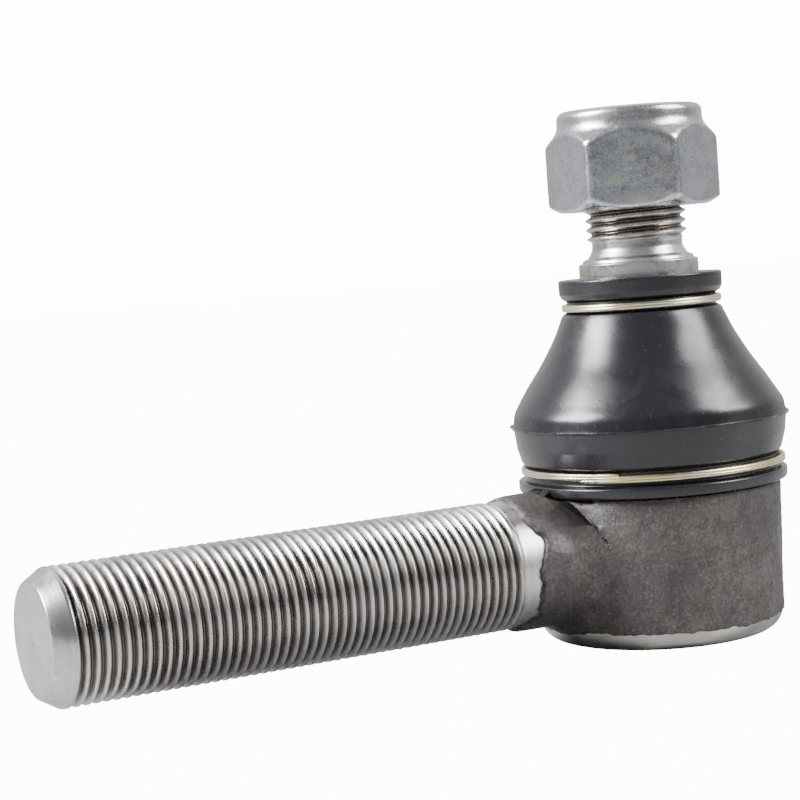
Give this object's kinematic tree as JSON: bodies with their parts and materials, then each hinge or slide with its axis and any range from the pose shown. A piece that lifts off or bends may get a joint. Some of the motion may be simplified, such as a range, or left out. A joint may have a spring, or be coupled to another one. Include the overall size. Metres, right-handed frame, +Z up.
{
  "type": "tie rod end",
  "caption": "Steering tie rod end with a forged eye, threaded shank, ball stud that swings under a rubber boot, and a lock nut.",
  "frame": {"origin": "centre of the ball, where the shank's axis crosses the eye's axis", "axes": "+Z up the stud at rest, -X along the shank to its free end, so +X points away from the shank; +Y completes a right-handed frame"},
  "size_m": [0.1268, 0.0438, 0.084],
  "materials": {
    "forged_steel": "forged skin, with turned shank and lip",
    "seat_plastic": "satin",
    "spring_steel": "oiled",
    "cover_steel": "pressed",
    "stud_steel": "turned",
    "boot_rubber": "smooth moulded",
    "ring_wire": "zinc plated wire",
    "zinc_plate": "zinc plated",
    "nylon": "satin"
  },
  "bodies": {
    "eye": {"housing": "forged_steel", "upper_ball_seat": "seat_plastic", "lower_ball_seat": "seat_plastic", "preload_spring": "spring_steel", "closing_cover": "cover_steel", "lower_boot_ring": "ring_wire"},
    "boot": {"dust_boot": "boot_rubber"},
    "boot_top": {"upper_boot_ring": "ring_wire"},
    "stud": {"ball_stud": "stud_steel"},
    "insert": {"nylon_insert": "nylon"},
    "nut": {"lock_nut": "zinc_plate"}
  },
  "joints": [
    {"name": "swing_sideways", "type": "hinge", "parent": "eye", "child": "boot", "pos_m": [0, 0, 0], "axis": [1, 0, 0], "range_deg": [-16, 16], "deforming": ["dust_boot"]},
    {"name": "swing_along_shank", "type": "hinge", "parent": "boot", "child": "boot_top", "pos_m": [0, 0, 0], "axis": [0, 1, 0], "range_deg": [-16, 16], "deforming": ["dust_boot"]},
    {"name": "stud_spin", "type": "hinge", "parent": "boot_top", "child": "stud", "pos_m": [0, 0, 0], "axis": [0, 0, 1], "continuous": true},
    {"name": "nut_travel", "type": "slide", "parent": "stud", "child": "insert", "axis": [0, 0, 1], "range_m": [-0.0041, 0.0136]},
    {"name": "nut_turn", "type": "hinge", "parent": "insert", "child": "nut", "pos_m": [0, 0, 0.0614], "axis": [0, 0, 1], "range_deg": [-960, 3240]}
  ],
  "couplings": [
    {"joint": "nut_travel", "follows": "nut_turn", "m_per_rad": 0.00023873}
  ]
}
